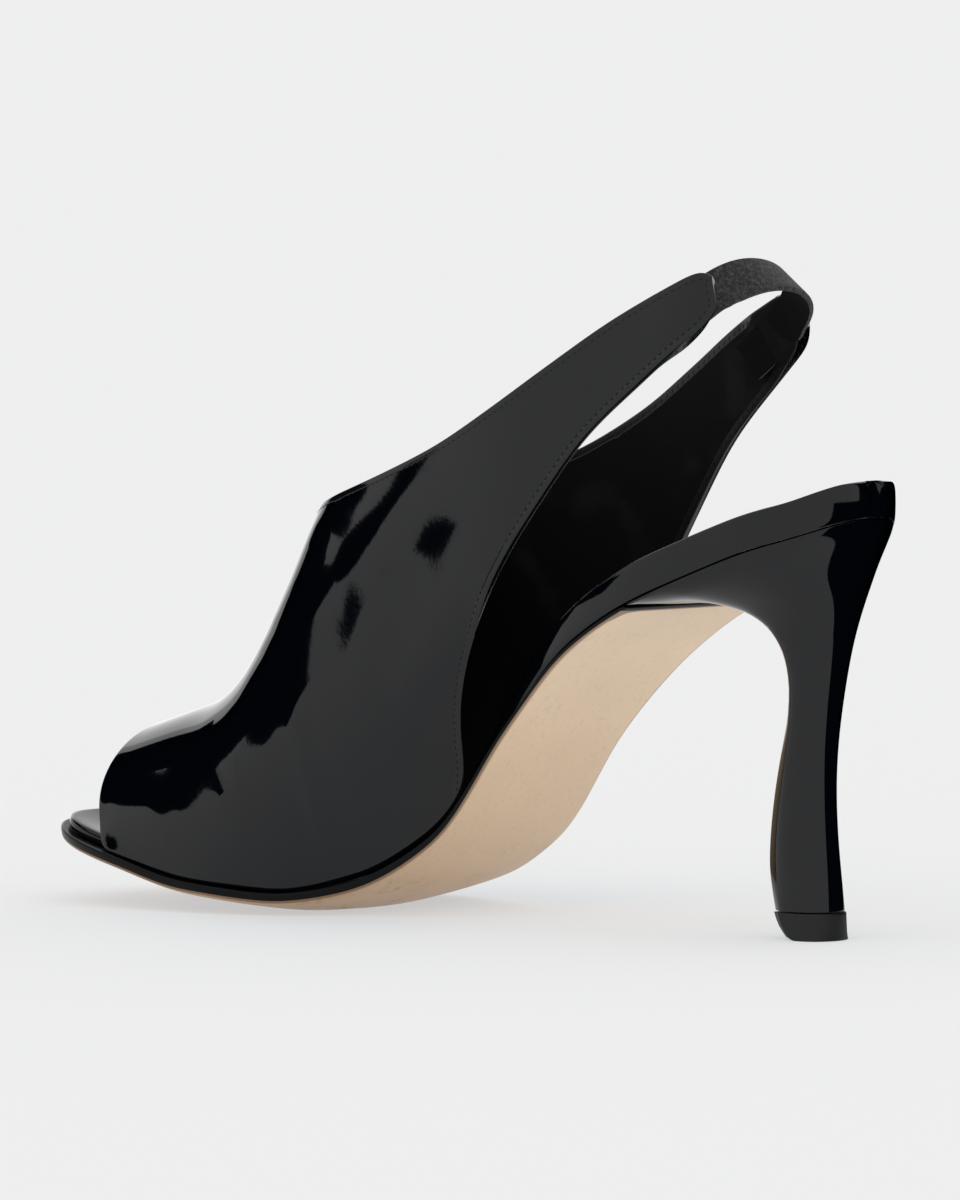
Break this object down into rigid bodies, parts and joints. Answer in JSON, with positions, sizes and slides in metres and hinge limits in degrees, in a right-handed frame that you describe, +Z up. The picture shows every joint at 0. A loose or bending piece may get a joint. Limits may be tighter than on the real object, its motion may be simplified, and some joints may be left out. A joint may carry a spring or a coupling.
{
  "type": "slingback sandal",
  "caption": "High-heeled slingback sandal with a peep toe, a glossy black upper, an elastic heel strap and a sculpted heel.",
  "frame": {"origin": "on the floor, under the middle of the shoe's length and width", "axes": "+Z up, -Y towards the toe, +X towards the inner side of the right foot"},
  "size_m": [0.0765, 0.2143, 0.1487],
  "materials": {
    "patent_leather": "high gloss patent",
    "woven_elastic": "matt, woven",
    "insole_wrap": "high gloss patent",
    "sole_leather": "satin",
    "heel_cover": "high gloss patent over a plastic core",
    "top_lift_rubber": "matt"
  },
  "bodies": {
    "root": {"upper": "patent_leather", "elastic_strap": "woven_elastic", "insole": "insole_wrap", "outsole": "sole_leather", "heel": "heel_cover", "top_lift": "top_lift_rubber"}
  },
  "joints": []
}
